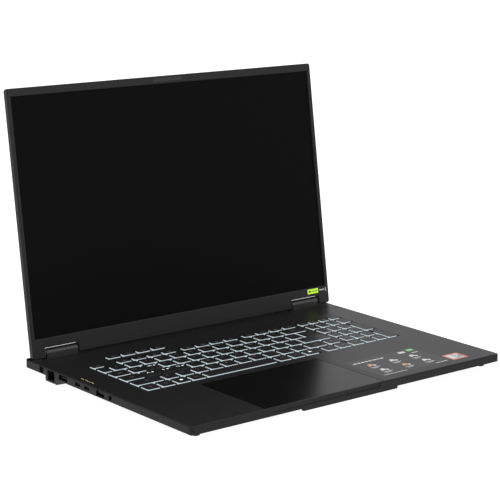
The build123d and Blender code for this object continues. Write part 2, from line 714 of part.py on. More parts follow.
# --- inside --------------------------------------------------------------------------------------
def mainboard():
    """The main circuit board, cut out round the fans, with its larger parts."""
    z = (BOARD_TOP - BOARD_T, BOARD_TOP)
    fan = FAN_HALF + 1.5
    points = [(-186.0, 2.0), (-140.0, -8.0), (150.0, -8.0), (150.0, 54.0), (FAN_X - fan, 54.0),
              (FAN_X - fan, 132.0), (-FAN_X + fan, 132.0), (-FAN_X + fan, 54.0),
              (-FAN_X - fan, 54.0), (-FAN_X - fan, 126.0), (-178.0, 126.0), (-178.0, 104.0),
              (-186.0, 104.0)]
    body = prism(points, *z)
    body += prism([(HALF - 17.0, 44.0), (150.0, 44.0), (150.0, 8.0), (165.0, 8.0),
                   (HALF - 17.0, 20.0)], *z)
    for x, y in SCREWS:
        body -= post(x, y, z[0] - 1, z[1] + 1, 4.6)
    for x in (-30.0, -12.0, 6.0, 24.0):
        body += block((x - 5.0, x + 5.0), (114.0, 128.0), (z[0] - 2.2, z[0]))
    return body


def chip(x, y, size):
    """A processor package with its die."""
    top = BOARD_TOP - BOARD_T
    body = block((x - size, x + size), (y - size, y + size), (top - 0.9, top))
    return body + block((x - size * 0.45, x + size * 0.45), (y - size * 0.6, y + size * 0.6),
                        (top - 1.4, top - 0.9))


def heat_pipes():
    """Flat heat pipes from the chips to the fin stacks."""
    z = BOARD_TOP - BOARD_T - 1.4
    pipes = []
    for i, y in enumerate((60.0, 72.0, 84.0)):
        reach = 46.0 - 2.0 * i
        pipe = block((-reach, reach), (y - 3.5, y + 3.5), (z - 2.2, z))
        pipes.append(pipe)
    for sign in (-1, 1):
        span = sorted((sign * 6.0, sign * 150.0))
        pipes.append(block(span, (136.6, 143.6), (z - 1.6, z + 0.6)))
    plate = block((-44.0, 44.0), (91.5, 136.5), (z - 2.0, z - 0.8))
    return pipes + [plate]


def fin_stack():
    """Thin cooling fins behind the exhaust window, on the right."""
    body = block(FINS_X, FINS_Y, (FINS_Z[1] - 0.6, FINS_Z[1]))
    body += block(FINS_X, FINS_Y, (FINS_Z[0], FINS_Z[0] + 0.6))
    step = (FINS_X[1] - FINS_X[0] - FIN_T) / FIN_GAPS
    for i in range(FIN_GAPS + 1):
        x = FINS_X[0] + i * step
        body += block((x, x + FIN_T), FINS_Y, FINS_Z)
    return body


def fan_housing():
    """Blower housing, on the right: round chamber, open to the rear, with its pin."""
    x = (FAN_X - FAN_HALF, FAN_X + FAN_HALF)
    y = (FAN_Y - FAN_HALF, FAN_Y + FAN_HALF)
    body = rounded_slab(x, y, FAN_Z, 6.0)
    chamber = (FAN_Z[0] + 0.7, FAN_Z[1] - 0.7)
    body -= post(FAN_X, FAN_Y, chamber[0], chamber[1], ROTOR_R + 2.6)
    body -= block((FAN_X - 30.0, FAN_X + 34.0), (FAN_Y, y[1] + 1.0), chamber)
    ring = post(FAN_X, FAN_Y, FAN_Z[0] - 1.0, FAN_Z[1] + 1.0, 23.0)
    ring -= post(FAN_X, FAN_Y, FAN_Z[1] - 1.0, FAN_Z[1] + 1.0, 12.0)
    for angle in (30, 150, 270):
        ring -= Pos(FAN_X, FAN_Y, FAN_Z[1] - 0.4) * Rot(0, 0, angle) * Pos(15.0, 0, 0) * Box(
            30.0, 4.0, 1.2)
    body -= ring
    return body + post(FAN_X, FAN_Y, FAN_Z[0] + 2.4, FAN_Z[1], ROTOR_PIN_R)


def fan_rotor():
    """Blower wheel, on the right."""
    z = (FAN_Z[0] + 1.2, FAN_Z[1] - 1.2)
    body = post(FAN_X, FAN_Y, z[0], z[1], ROTOR_HUB_R)
    blade = Pos(0, 0, (z[0] + z[1]) / 2) * Pos(ROTOR_HUB_R + 9.2, 0, 0) * Rot(0, 0, 12) * Box(
        20.0, 0.9, z[1] - z[0] - 0.6)
    for i in range(ROTOR_BLADES):
        body += Pos(FAN_X, FAN_Y, 0) * Rot(0, 0, i * 360 / ROTOR_BLADES) * blade
    return body - post(FAN_X, FAN_Y, z[0] + 0.8, z[1] + 1.0, ROTOR_PIN_R + 0.05)


def battery():
    """Flat pack of four cells behind the front edge."""
    body = block((-130.0, 130.0), (-92.0, -20.0), (-10.9, -5.2))
    for x in (-65.0, 0.0, 65.0):
        body -= block((x - 0.6, x + 0.6), (-93.0, -19.0), (-12.0, -10.0))
    return body


def memory_modules():
    """Two memory modules side by side, under the board."""
    top = BOARD_TOP - BOARD_T
    modules = []
    for x in (-96.0, -22.0):
        module = block((x, x + 69.6), (6.0, 36.0), (top - 2.2, top - 1.2))
        module += block((x, x + 69.6), (36.0, 41.0), (top - 3.0, top))
        for i in range(4):
            module += block((x + 5.0 + 16.0 * i, x + 16.0 + 16.0 * i), (12.0, 24.0),
                            (top - 3.2, top - 2.2))
        modules.append(module)
    return modules


def ssd_module():
    """Storage stick in its socket."""
    top = BOARD_TOP - BOARD_T
    body = block((62.0, 142.0), (8.0, 30.0), (top - 2.0, top - 1.2))
    body += block((58.0, 64.0), (8.0, 30.0), (top - 2.8, top))
    return body + block((72.0, 86.0), (11.0, 25.0), (top - 3.2, top - 2.0))


def wireless_card():
    """Small radio card."""
    top = BOARD_TOP - BOARD_T
    body = block((64.0, 92.0), (34.0, 50.0), (top - 2.0, top - 1.2))
    return body + block((68.0, 86.0), (36.5, 47.5), (top - 2.8, top - 2.0))


def speaker():
    """Flat speaker box, on the right."""
    body = rounded_slab((138.0, 176.0), (-74.0, -14.0), (-10.6, -4.6), 4.0)
    return body - rounded_slab((144.0, 168.0), (-52.0, -26.0), (-10.7, -9.6), 6.0)


def keyboard_plate():
    """Sheet under the keys that carries their lifts and the light guide."""
    body = rounded_slab((PLATE[0], PLATE[1]), (PLATE[2], PLATE[3]),
                        (PLATE_TOP - PLATE_T, PLATE_TOP), 2.0)
    for x in (-120.0, -40.0, 40.0, 120.0):
        for y in (17.3, 71.9):
            body -= post(x - 0.65, y, PLATE_TOP - 2.0, PLATE_TOP + 1.0, 0.45)
    return body


def touchpad():
    """Glass touch surface on its plate."""
    body = rounded_slab(PAD[:2], PAD[2:], (PAD_TOP - 1.0, PAD_TOP), 1.5)
    return body + block((PAD[0] + 3.0, PAD[1] - 3.0), (PAD[2] + 3.0, PAD[3] - 3.0),
                        (PAD_TOP - PAD_T, PAD_TOP - 1.0))


def power_button():
    """Power button cap."""
    body = rounded_slab(POWER[:2], POWER[2:], (POWER_TOP - POWER_T, POWER_TOP), 1.0)
    return fillet(body.faces().sort_by(Axis.Z)[-1].edges(), 0.25)


def opened(shape):
    """A lid part turned from shut to its rest position."""
    if isinstance(shape, list):
        return [opened(part) for part in shape]
    return shape.rotate(Axis((0, HINGE_Y, HINGE_Z), (1, 0, 0)), -LID_OPEN)


def base_nodes():
    """Everything fixed to the base."""
    cover, bracket, fins, housing, cone = (hinge_cover(), hinge_bracket(), fin_stack(),
                                           fan_housing(), speaker())
    return {
        "top_case": top_case(),
        "bottom_case": bottom_case(),
        "keyboard_plate": keyboard_plate(),
        "rear_grilles": rear_grilles(),
        "front_feet": front_feet(),
        "front_foot_strip": foot((-61.5, 61.5), (-107.5, -103.5), 1.5),
        "rear_foot_strip": foot((-150.0, 150.0), (139.0, 147.0), 2.0),
        "case_screws": case_screws(),
        "hinge_cover_left": mirrored(cover),
        "hinge_cover_right": cover,
        "hinge_bracket_left": mirrored(bracket),
        "hinge_bracket_right": bracket,
        "hinge_screws": hinge_screws(),
        "dc_inlet": dc_inlet(),
        "network_socket": network_socket(),
        "hdmi_socket": socket_shell(HDMI_AT, HDMI_SIZE, 11.0, (-0.3, 0.7)),
        "usb_c_sockets": [socket_shell(at, USB_C_SIZE, 8.5, (-0.35, 0.35)) for at in USB_C_AT],
        "usb_a_socket_left": socket_shell(USB_A_LEFT_AT, USB_A_SIZE, 14.0, (0.0, 2.0)),
        "usb_a_socket_right": socket_shell(USB_A_RIGHT_AT, USB_A_SIZE, 14.0, (0.0, 2.0), 1),
        "audio_jack": audio_jack(),
        "mainboard": mainboard(),
        "processor_chip": chip(-22.0, 72.0, 14.0),
        "graphics_chip": chip(20.0, 72.0, 17.0),
        "heat_pipes": heat_pipes(),
        "fin_stack_left": mirrored(fins),
        "fin_stack_right": fins,
        "fan_housing_left": mirrored(housing),
        "fan_housing_right": housing,
        "battery": battery(),
        "ssd_module": ssd_module(),
        "memory_modules": memory_modules(),
        "wireless_card": wireless_card(),
        "speaker_left": mirrored(cone),
        "speaker_right": cone,
    }


def lid_nodes():
    """Everything that moves with the lid, at rest."""
    arm = hinge_arm()
    return {
        "lid_cover": opened(lid_cover()),
        "bezel": opened(bezel()),
        "display_panel": opened(display_panel()),
        "display_board": opened(display_board()),
        "camera_module": opened(camera_module()),
        "lid_bumpers": opened(lid_bumpers()),
        "hinge_arm_left": opened(mirrored(arm)),
        "hinge_arm_right": opened(arm),
    }


def moving_nodes():
    """Fans, touchpad, button and keys."""
    rotor = fan_rotor()
    nodes = {
        "fan_rotor_left": mirrored(rotor),
        "fan_rotor_right": rotor,
        "touchpad": touchpad(),
        "power_button": power_button(),
    }
    for name, keys in keyboard().items():
        nodes[name] = key_node(name, keys)
    return nodes


def placement():
    """Tilt onto the feet, lift to the desk, and centre the machine on the origin."""
    tilt = radians(DECK_TILT)
    lift = -(DESK_Y * sin(tilt) + DESK_Z * cos(tilt))
    reach = HINGE_Y - LID_FRONT - LID_EDGE_R
    back = LID_Z + LID_T - HINGE_Z - LID_EDGE_R
    lean = radians(180.0 - LID_OPEN)
    top_y = HINGE_Y + reach * cos(lean) + back * sin(lean)
    top_z = HINGE_Z + reach * sin(lean) - back * cos(lean)
    rear = top_y * cos(tilt) - top_z * sin(tilt) + LID_EDGE_R
    front = FRONT_Y * cos(tilt) - (WALL_BOTTOM - TRAY_EDGE) * sin(tilt)
    return Location((0, -(rear + front) / 2, lift)) * Location((0, 0, 0), (DECK_TILT, 0, 0))


def main():
    """Write every node."""
    os.makedirs("parts", exist_ok=True)
    place = placement()
    for name, shape in {**base_nodes(), **lid_nodes(), **moving_nodes()}.items():
        solids = shape if isinstance(shape, list) else [shape]
        pieces = [place * solid for part in solids for solid in part.solids()]
        export_step(pieces[0] if len(pieces) == 1 else Compound(children=pieces),
                    f"parts/{name}.step")


if __name__ == "__main__":
    main()
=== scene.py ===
"""Laptop computer: materials, keys, printed details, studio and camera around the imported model.

Sizes are in millimetres in the deck's own frame, as on a drawing: x across, y from front to rear,
z = 0 on the deck's top face. The lid's details are drawn with the lid shut. DECK and LID turn both
into the shared frame, in metres; both come from the hinge joint and the keys' direction.
"""

import json
from math import atan2, cos, pi, radians, sin

import bmesh
import bpy
from mathutils import Matrix, Vector


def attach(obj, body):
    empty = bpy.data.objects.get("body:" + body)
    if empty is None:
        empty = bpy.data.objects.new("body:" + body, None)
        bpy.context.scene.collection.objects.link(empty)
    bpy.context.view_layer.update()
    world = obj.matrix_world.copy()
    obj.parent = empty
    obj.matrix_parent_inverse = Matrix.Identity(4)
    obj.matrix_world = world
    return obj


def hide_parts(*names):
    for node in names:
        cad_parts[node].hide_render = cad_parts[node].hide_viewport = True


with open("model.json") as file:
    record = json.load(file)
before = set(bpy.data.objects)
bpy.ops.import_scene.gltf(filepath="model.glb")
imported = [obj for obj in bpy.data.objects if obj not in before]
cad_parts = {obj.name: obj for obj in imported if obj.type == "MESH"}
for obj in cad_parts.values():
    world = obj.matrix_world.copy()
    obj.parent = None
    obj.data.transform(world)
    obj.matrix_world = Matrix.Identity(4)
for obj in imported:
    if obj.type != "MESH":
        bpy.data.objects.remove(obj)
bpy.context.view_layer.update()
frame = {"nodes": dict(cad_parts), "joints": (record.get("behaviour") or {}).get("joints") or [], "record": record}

MM = 0.001
HINGE = Vector((0.0, 152.7, 5.4))
LID_OPEN = radians(99.0)
BEZEL_FACE = 0.4          # the bezel's face above the deck, lid shut
DECK_FACE = 0.0
KEY_FACE = 0.6            # rim of the key caps above the deck

joints = {j["name"]: j for j in frame["joints"]}
press = joints["space_bar_press"]["axis"]
TILT = atan2(press[1], -press[2])
DECK = (Matrix.Translation(joints["lid_hinge"]["pos_m"]) @ Matrix.Rotation(TILT, 4, "X")
        @ Matrix.Scale(MM, 4) @ Matrix.Translation(-HINGE))
LID = (DECK @ Matrix.Translation(HINGE) @ Matrix.Rotation(-LID_OPEN, 4, "X")
       @ Matrix.Translation(-HINGE))
KEY_NODES = [n for n in frame["nodes"] if n.endswith(("_key", "_keys")) or n == "space_bar"]


# --- materials -----------------------------------------------------------------------------------
def new_material(name, color, roughness, metallic=0.0, specular=0.5, alpha=1.0):
    """A principled material and its node tree."""
    material = bpy.data.materials.new(name)
    material.use_nodes = True
    shader = material.node_tree.nodes["Principled BSDF"]
    shader.inputs["Base Color"].default_value = (*color, 1.0)
    shader.inputs["Roughness"].default_value = roughness
    shader.inputs["Metallic"].default_value = metallic
    shader.inputs["Specular IOR Level"].default_value = specular
    shader.inputs["Alpha"].default_value = alpha
    return material


def node(material, kind, **values):
    """A new shader node with its named inputs set."""
    made = material.node_tree.nodes.new(kind)
    for key, value in values.items():
        made.inputs[key.replace("_", " ")].default_value = value
    return made


def link(material, source, target):
    """Join two sockets."""
    material.node_tree.links.new(source, target)


def grain(material, color, spread, scale, rough=None, bump=0.0, detail=3.0, stretch=(1, 1, 1)):
    """Fine colour variation, with matching roughness and bump, in object space."""
    shader = material.node_tree.nodes["Principled BSDF"]
    place = node(material, "ShaderNodeTexCoord")
    mapping = node(material, "ShaderNodeMapping")
    mapping.inputs["Scale"].default_value = stretch
    link(material, place.outputs["Object"], mapping.inputs["Vector"])
    noise = node(material, "ShaderNodeTexNoise", Scale=scale, Detail=detail, Roughness=0.6)
    link(material, mapping.outputs["Vector"], noise.inputs["Vector"])
    ramp = node(material, "ShaderNodeValToRGB")
    low = tuple(c * (1.0 - spread) for c in color)
    high = tuple(c * (1.0 + spread) for c in color)
    ramp.color_ramp.elements[0].position = 0.3
    ramp.color_ramp.elements[1].position = 0.7
    ramp.color_ramp.elements[0].color = (*low, 1.0)
    ramp.color_ramp.elements[1].color = (*high, 1.0)
    link(material, noise.outputs["Fac"], ramp.inputs["Fac"])
    link(material, ramp.outputs["Color"], shader.inputs["Base Color"])
    if rough is not None:
        span = node(material, "ShaderNodeMapRange", To_Min=rough[0], To_Max=rough[1])
        link(material, noise.outputs["Fac"], span.inputs["Value"])
        link(material, span.outputs["Result"], shader.inputs["Roughness"])
    if bump:
        bumps = node(material, "ShaderNodeBump", Strength=bump, Distance=0.0001)
        link(material, noise.outputs["Fac"], bumps.inputs["Height"])
        link(material, bumps.outputs["Normal"], shader.inputs["Normal"])
    return material


def glow(material, color, strength):
    """Light given off by a material."""
    shader = material.node_tree.nodes["Principled BSDF"]
    shader.inputs["Emission Color"].default_value = (*color, 1.0)
    shader.inputs["Emission Strength"].default_value = strength
    return material


def plastic(name, shade, roughness, specular=0.5, scale=2600.0, bump=0.25, spread=0.12):
    """Moulded plastic with a fine spark-eroded texture."""
    color = (shade, shade * 1.01, shade)
    material = new_material(name, color, roughness, specular=specular)
    return grain(material, color, spread, scale, (roughness - 0.04, roughness + 0.05), bump)


def metal(name, color, roughness, stretch=(1, 1, 1), scale=900.0):
    """Metal with fine drawn or cast grain."""
    material = new_material(name, color, roughness, metallic=1.0)
    return grain(material, color, 0.08, scale, (roughness - 0.05, roughness + 0.08), 0.15,
                 stretch=stretch)


def circuit_board():
    """Dark green board with copper tracks under the lacquer."""
    lacquer = (0.006, 0.05, 0.022)
    material = grain(new_material("circuit_board", lacquer, 0.35), lacquer, 0.25, 900.0,
                     (0.28, 0.42), 0.1)
    shader = material.node_tree.nodes["Principled BSDF"]
    place = node(material, "ShaderNodeTexCoord")
    bricks = node(material, "ShaderNodeTexBrick", Scale=160.0, Mortar_Size=0.02)
    link(material, place.outputs["Object"], bricks.inputs["Vector"])
    mix = node(material, "ShaderNodeMix")
    mix.data_type = "RGBA"
    mix.inputs[6].default_value = (0.02, 0.11, 0.04, 1.0)
    ramp = [n for n in material.node_tree.nodes if n.bl_idname == "ShaderNodeValToRGB"][0]
    link(material, bricks.outputs["Fac"], mix.inputs[0])
    link(material, ramp.outputs["Color"], mix.inputs[7])
    link(material, mix.outputs[2], shader.inputs["Base Color"])
    return material


def ink(name, color, roughness=0.45, light=0.0):
    """Printed ink with slight unevenness; light makes it glow, as backlight shining through a key's legend or as a
    painted glow on a label.
    """
    material = grain(new_material(name, color, roughness), color, 0.06, 3000.0, bump=0.05)
    return glow(material, color, light) if light else material


materials = {
    "deck_shell": plastic("deck_shell", 0.0095, 0.36, specular=0.115),
    "underside_shell": plastic("underside_shell", 0.008, 0.55, specular=0.3, scale=1500.0,
                               bump=0.5),
    "lid_shell": plastic("lid_shell", 0.006, 0.42, specular=0.2),
    "bezel_plastic": plastic("bezel_plastic", 0.0065, 0.45, specular=0.2, scale=2000.0, bump=0.4),
    "screen_glass": plastic("screen_glass", 0.0026, 0.5, specular=0.025, scale=4000.0, bump=0.02),
    "key_cap": plastic("key_cap", 0.006, 0.45, specular=0.2, scale=3000.0),
    "key_plate": plastic("key_plate", 0.006, 0.6),
    "touch_surface": plastic("touch_surface", 0.0035, 0.22, specular=0.075, scale=4000.0,
                             bump=0.03),
    "hinge_cover": plastic("hinge_cover", 0.016, 0.3, scale=1800.0, bump=0.15),
    "vent_plastic": plastic("vent_plastic", 0.008, 0.5),
    "rubber": plastic("rubber", 0.008, 0.6, specular=0.25, scale=1200.0, bump=0.6),
    "screw_steel": metal("screw_steel", (0.05, 0.05, 0.05), 0.4),
    "hinge_steel": metal("hinge_steel", (0.35, 0.35, 0.36), 0.35, (1, 6, 6)),
    "socket_metal": metal("socket_metal", (0.02, 0.02, 0.021), 0.45),
    "socket_plastic": plastic("socket_plastic", 0.002, 0.6, specular=0.15),
    "circuit_board": circuit_board(),
    "camera_board": plastic("camera_board", 0.004, 0.2),
    "chip": plastic("chip", 0.03, 0.3),
    "copper": metal("copper", (0.72, 0.34, 0.2), 0.3),
    "fins": metal("fins", (0.5, 0.5, 0.52), 0.35),
    "fan_plastic": plastic("fan_plastic", 0.01, 0.45),
    "rotor_plastic": plastic("rotor_plastic", 0.014, 0.4),
    "battery_pack": plastic("battery_pack", 0.012, 0.5, scale=800.0),
    "speaker_box": plastic("speaker_box", 0.01, 0.5),
}
KEY_LIGHT = (0.8, 0.95, 1.0)
# Key skirts: the glow is the real backlight, but it is kept to the front and left stretches; the dark skirt is
# painted shade on the other stretches of backlit keys, and the own dark colour of the gaming keys' skirts.
skirt_lit = glow(plastic("key_skirt_lit", 0.1, 0.4, specular=0.2), KEY_LIGHT, 0.58)
skirt_dark_and_shade = plastic("key_skirt_dark_and_painted_shade", 0.01, 0.4, specular=0.2)
legend_dim = ink("legend_dim", (0.11, 0.1, 0.095), 0.5)
legend_lit = ink("legend_lit", (0.7, 0.76, 0.76), 0.5, 0.5)


# --- mesh helpers --------------------------------------------------------------------------------
LEAST_RADIUS = 0.05


def arc_point(x, y, radius, turn):
    """The point of a circle that lies turn half-turns from its right."""
    return (x + radius * cos(pi * turn), y + radius * sin(pi * turn))


def rounded(x, y, radius, inset=0.0, steps=4):
    """Points of a rounded rectangle, moved in by inset."""
    x0, x1, y0, y1 = x[0] + inset, x[1] - inset, y[0] + inset, y[1] - inset
    r = max(LEAST_RADIUS, radius - inset)
    corners = [(x1 - r, y1 - r, 0.0), (x0 + r, y1 - r, 0.5), (x0 + r, y0 + r, 1.0),
               (x1 - r, y0 + r, 1.5)]
    return [arc_point(cx, cy, r, turn + 0.5 * i / steps)
            for cx, cy, turn in corners for i in range(steps + 1)]


def circle(x, y, radius, steps=24):
    """Points of a circle."""
    return [(x + radius * cos(2 * pi * i / steps), y + radius * sin(2 * pi * i / steps))
            for i in range(steps)]


def stack(bm, rings, slots):
    """A closed solid through rings of (points, z). slots gives each band's material index."""
    made = [[bm.verts.new((px, py, z)) for px, py in points] for points, z in rings]
    for low, high, slot in zip(made, made[1:], slots):
        for j in range(len(low)):
            k = (j + 1) % len(low)
            bm.faces.new((low[j], low[k], high[k], high[j])).material_index = slot
    bm.faces.new(list(reversed(made[0]))).material_index = slots[0]
    bm.faces.new(made[-1]).material_index = slots[-1]


def slab(bm, outline, z0, z1, slot=0):
    """An upright slab on an outline."""
    low, high = sorted((z0, z1))
    stack(bm, [(outline, low), (outline, high)], [slot])


def finish_piece(name, bm, body, looks, space=DECK, smooth=0.0):
    """Turn a bmesh into a piece that rides on a body."""
    bmesh.ops.transform(bm, matrix=space, verts=bm.verts)
    bmesh.ops.recalc_face_normals(bm, faces=bm.faces)
    mesh = bpy.data.meshes.new(name)
    bm.to_mesh(mesh)
    bm.free()
    piece = bpy.data.objects.new(name, mesh)
    bpy.context.scene.collection.objects.link(piece)
    for material in looks:
        mesh.materials.append(material)
    if smooth:
        mesh.shade_smooth()
        mesh.set_sharp_from_angle(angle=radians(smooth))
    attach(piece, body)
    return piece


# --- keys ----------------------------------------------------------------------------------------
def islands(node_name):
    """Each separate solid of a CAD node as its corner points in the deck's frame."""
    mesh = frame["nodes"][node_name].data
    back = DECK.inverted()
    places = [back @ v.co for v in mesh.vertices]
    owner = {}
    keys = [tuple(round(c, 2) for c in p) for p in places]
    parent = {k: k for k in keys}

    def root(k):
        while parent[k] != k:
            parent[k] = parent[parent[k]]
            k = parent[k]
        return k

    for edge in mesh.edges:
        parent[root(keys[edge.vertices[0]])] = root(keys[edge.vertices[1]])
    for key, place in zip(keys, places):
        owner.setdefault(root(key), []).append(place)
    return list(owner.values())


def key_spans(node_name):
    """The caps of a node as (x0, x1, y0, y1) at their feet, front row last, left to right."""
    spans = []
    for points in islands(node_name):
        xs, ys = [p.x for p in points], [p.y for p in points]
        spans.append((min(xs), max(xs), min(ys), max(ys)))
    return sorted(spans, key=lambda s: (-round(s[2], 0), s[0]))


TOP, SKIRT_LIT, SKIRT_DARK_AND_SHADE, INK_DIM, INK_LIT = range(5)    # material slots of a key piece
CAP_RADIUS = 2.4
CAP_RINGS = ((0.0, -2.6), (0.2, -0.2), (0.5, 0.3), (0.62, 0.42), (0.85, KEY_FACE))
DISH_RINGS = ((0.3, 0.035), (0.6, 0.06), (0.9, 0.07))   # share of the way in, depth
LIT_BANDS = 2             # bands of the skirt that let light through
LIT_SIDE = 0.72           # share of a cap's left side, from the front, that glows; the rest of that side is painted shade
LIT_END = 3.3             # painted shade over the right end of the lit front edge, in place of the glow
ANGLE_RADIUS = 0.9        # corners of the angled enter key
LIT_NORMAL = -0.3         # its skirt glows where it faces this far to the front or the left, and is painted shade elsewhere


def key_outline(x, y, inset):
    """Rounded outline of a cap, with points where its lit stretches end."""
    points = rounded(x, y, CAP_RADIUS, inset)
    quarter = len(points) // 4
    top_left, low_left = points[2 * quarter - 1], points[2 * quarter]
    low_front, end_front = points[3 * quarter - 1], points[3 * quarter]
    side = (LIT_SIDE * (y[1] - y[0]) - CAP_RADIUS) / (y[1] - y[0] - 2 * CAP_RADIUS)
    front = (x[1] - x[0] - LIT_END - CAP_RADIUS) / (x[1] - x[0] - 2 * CAP_RADIUS)
    split_side = (low_left[0], low_left[1] + side * (top_left[1] - low_left[1]))
    split_front = (low_front[0] + front * (end_front[0] - low_front[0]), low_front[1])
    return (points[:2 * quarter] + [split_side] + points[2 * quarter:3 * quarter] + [split_front]
            + points[3 * quarter:])


def is_lit(face, x, y):
    """Whether a skirt face lies on the glowing stretch at the front and left; the other skirt faces get painted
    shade.
    """
    middle = face.calc_center_median()
    at_left = middle.x < x[0] + CAP_RADIUS and middle.y < y[0] + LIT_SIDE * (y[1] - y[0])
    at_front = middle.y < y[0] + CAP_RADIUS and middle.x < x[1] - LIT_END
    return at_left or at_front


def key_solid(bm, span, lit=True):
    """One cap: flared translucent skirt and dark dished top; a lit cap's skirt glows at its front and left and is
    painted shade behind and at the right.
    """
    x, y = span[:2], span[2:]
    rings = [(key_outline(x, y, inset), z) for inset, z in CAP_RINGS]
    edge = CAP_RINGS[-1][0]
    half = min(x[1] - x[0], y[1] - y[0]) / 2
    rings += [(key_outline(x, y, edge + share * (half - edge)), KEY_FACE - depth)
              for share, depth in DISH_RINGS]
    before = len(bm.faces)
    stack(bm, rings, [SKIRT_DARK_AND_SHADE] * LIT_BANDS + [TOP] * (len(rings) - LIT_BANDS - 1))
    bm.faces.ensure_lookup_table()
    for face in bm.faces[before:]:
        if lit and face.material_index == SKIRT_DARK_AND_SHADE and is_lit(face, x, y):
            face.material_index = SKIRT_LIT


def angled_key_solid(bm, span, foot):
    """The angled enter key: narrow behind, from foot[0] on, and wide up to foot[1]."""
    x0, x1, y0, y1 = span
    left, depth = foot

    def corner(x, y, turn):
        """Points round an outer corner."""
        across = -ANGLE_RADIUS if turn in (0.0, 1.5) else ANGLE_RADIUS
        along = -ANGLE_RADIUS if turn in (0.0, 0.5) else ANGLE_RADIUS
        return [arc_point(x + across, y + along, ANGLE_RADIUS, turn + 0.125 * i)
                for i in range(5)]

    def outline(inset):
        """The whole outline, moved in by inset."""
        return (corner(x1 - inset, y1 - inset, 0.0) + corner(left + inset, y1 - inset, 0.5)
                + [(left + inset, depth - inset)] + corner(x0 + inset, depth - inset, 0.5)
                + corner(x0 + inset, y0 + inset, 1.0) + corner(x1 - inset, y0 + inset, 1.5))

    before = len(bm.faces)
    stack(bm, [(outline(inset), z) for inset, z in CAP_RINGS],
          [SKIRT_DARK_AND_SHADE] * LIT_BANDS + [TOP] * (len(CAP_RINGS) - LIT_BANDS - 1))
    bm.faces.ensure_lookup_table()
    # The skirt glows only where it faces the front or the left; the rest of it is painted shade.
    for face in bm.faces[before:]:
        face.normal_update()
        turned = min(face.normal.x, face.normal.y)
        if face.material_index == SKIRT_DARK_AND_SHADE and turned < LIT_NORMAL:
            face.material_index = SKIRT_LIT


def glyph_mesh(character, size):
    """A single letter or digit as flat mesh data."""
    curve = bpy.data.curves.new("glyph", "FONT")
    curve.body = character
    curve.size = size
    curve.resolution_u = 2
    curve.align_x = "CENTER"
    curve.align_y = "CENTER"
    holder = bpy.data.objects.new("glyph", curve)
    mesh = bpy.data.meshes.new_from_object(holder)
    bpy.data.objects.remove(holder)
    bpy.data.curves.remove(curve)
    return mesh


def add_glyph(bm, character, place, size, slot):
    """Add a character to a mesh, flat at a place."""
    mesh = glyph_mesh(character, size)
    flat = bmesh.new()
    flat.from_mesh(mesh)
    bmesh.ops.translate(flat, vec=place, verts=flat.verts)
    for face in flat.faces:
        face.material_index = slot
    scratch = bpy.data.meshes.new("scratch")
    flat.to_mesh(scratch)
    flat.free()
    bm.from_mesh(scratch)
    bpy.data.meshes.remove(scratch)
    bpy.data.meshes.remove(mesh)


ROW_LETTERS = {"number_keys": "`1234567890-=", "upper_letter_keys": " QWERTYUIOP[]",
               "home_letter_keys": " ASDFGHJKL;'", "lower_letter_keys": "ZXCVBNM,./",
               "numpad_keys": "     /*-789 456 123 0."}
GAMING_KEYS = "WASD"
LIT_MODIFIERS = (2, 6)
LEGEND_Z = KEY_FACE - 0.03
LEGEND_T = 0.05
GLYPH_SIZE = 5.0
ARROW_R = 2.0
ARROW_SPREAD = 2.2        # angle from an arrowhead's tip to its other points, in radians


def legend_mark(bm, outline, slot):
    """A flat mark on a key."""
    slab(bm, outline, LEGEND_Z - LEGEND_T, LEGEND_Z, slot)


def legends(bm, node_name, spans):
    """Single characters on letter and digit keys, short bars or arrowheads on the others."""
    letters = ROW_LETTERS.get(node_name, "")
    for i, (x0, x1, y0, y1) in enumerate(spans):
        cx, cy = (x0 + x1) / 2, (y0 + y1) / 2
        letter = letters[i] if i < len(letters) else " "
        if letter != " ":
            lit = letter in GAMING_KEYS and node_name != "numpad_keys"
            slot = INK_LIT if lit else INK_DIM
            add_glyph(bm, letter, (cx - 1.5, cy + 1.8, LEGEND_Z), GLYPH_SIZE, slot)
            if lit:
                legend_mark(bm, rounded((cx + 2.6, cx + 5.0), (cy + 1.0, cy + 2.8), 0.4), slot)
        elif node_name == "arrow_keys":
            turn = (pi / 2, pi, -pi / 2, 0.0)[i]
            head = [(cx + ARROW_R * cos(turn + a), cy + ARROW_R * sin(turn + a))
                    for a in (0, ARROW_SPREAD, -ARROW_SPREAD)]
            legend_mark(bm, head, INK_DIM)
        elif node_name == "modifier_keys" and i in LIT_MODIFIERS:
            legend_mark(bm, rounded((cx - 1.7, cx + 1.7), (cy - 1.4, cy + 1.4), 0.5), INK_LIT)
        elif node_name != "space_bar":
            legend_mark(bm, rounded((cx - 2.4, cx + 2.4), (cy - 0.5, cy + 0.5), 0.45), INK_DIM)


FOOT_LEVEL = -2.5         # points below this are the feet of a cap


def enter_key_foot(span):
    """Where the angled enter key's rear part starts, and how far back its wide part reaches."""
    low = [p for p in islands("enter_key")[0] if p.z < FOOT_LEVEL]
    depth = min(y for y in {round(p.y, 1) for p in low} if y > span[2] + 10.0)
    left = max(x for x in {round(p.x, 1) for p in low} if x < min(span[1] - 5.0, span[0] + 16.0))
    return left, depth


def build_keys():
    """Detailed caps in place of the plain CAD ones."""
    for node_name in sorted(KEY_NODES):
        spans = key_spans(node_name)
        bm = bmesh.new()
        if node_name == "enter_key":
            angled_key_solid(bm, spans[0], enter_key_foot(spans[0]))
        else:
            letters = ROW_LETTERS.get(node_name, "")
            for i, span in enumerate(spans):
                gaming = i < len(letters) and letters[i] in GAMING_KEYS
                key_solid(bm, span, lit=not gaming)
        legends(bm, node_name, spans)
        looks = [materials["key_cap"], skirt_lit, skirt_dark_and_shade, legend_dim, legend_lit]
        piece = finish_piece(node_name + "_look", bm, node_name + "_body", looks,
                             smooth=35.0)
        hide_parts(node_name)


